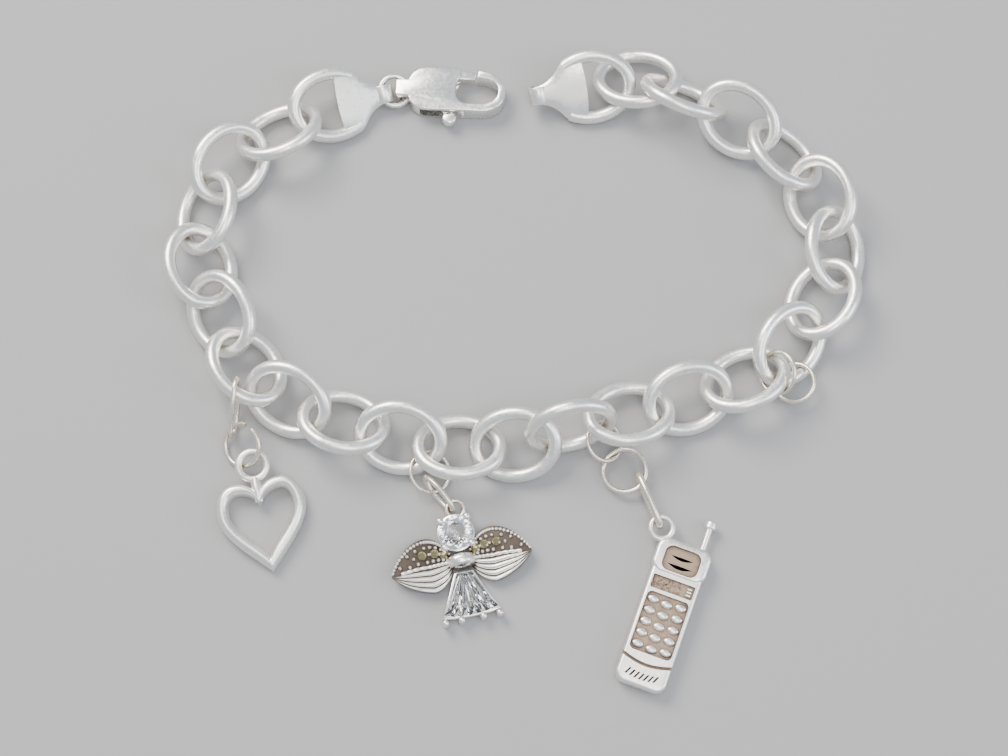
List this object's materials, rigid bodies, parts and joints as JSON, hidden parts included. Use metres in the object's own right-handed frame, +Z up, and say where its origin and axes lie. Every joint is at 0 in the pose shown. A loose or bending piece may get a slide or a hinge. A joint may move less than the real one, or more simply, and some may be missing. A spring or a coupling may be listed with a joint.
{
  "type": "charm bracelet",
  "caption": "Unfastened oval-link charm bracelet with soldered end caps, a lobster clasp, and heart, angel and handset charms hung on wire rings.",
  "frame": {"origin": "middle of the bracelet's bounding box on the surface that it lies on", "axes": "+X along the long way of the open loop, towards the chain's right-hand bend; +Y from the hanging charms towards the clasp; +Z up off the surface"},
  "size_m": [0.0836, 0.0786, 0.0085],
  "materials": {
    "silver": "worn, softly polished sterling silver, oxidised brown-grey in the recesses",
    "crystal": "clear faceted cubic zirconia"
  },
  "bodies": {
    "bracelet": {"link_01": "silver", "link_02": "silver", "link_03": "silver", "link_04": "silver", "link_05": "silver", "link_06": "silver", "link_07": "silver", "link_08": "silver", "link_09": "silver", "link_10": "silver", "link_11": "silver", "link_12": "silver", "link_13": "silver", "link_14": "silver", "link_15": "silver", "link_16": "silver", "link_17": "silver", "link_18": "silver", "link_19": "silver", "link_20": "silver", "link_21": "silver", "link_22": "silver", "link_23": "silver", "end_cap_left": "silver", "end_cap_right": "silver", "clasp_ring": "silver", "clasp_body": "silver", "heart_chain_ring": "silver", "heart_ring": "silver", "heart_charm": "silver", "angel_chain_ring": "silver", "angel_link": "silver", "angel_setting": "silver", "phone_chain_ring": "silver", "phone_ring": "silver", "phone_link": "silver", "phone_charm": "silver", "spare_ring_1": "silver", "spare_ring_2": "silver", "angel_head_stone": "crystal", "angel_skirt_stone": "crystal"},
    "lever": {"clasp_lever": "silver"}
  },
  "joints": [
    {"name": "clasp_lever_hinge", "type": "hinge", "parent": "bracelet", "child": "lever", "pos_m": [-0.00967, 0.03413, 0.0013], "axis": [0, 0, -1], "range_deg": [0, 28], "stiffness_Nm_per_rad": 0.012, "springref_deg": -11.46}
  ]
}
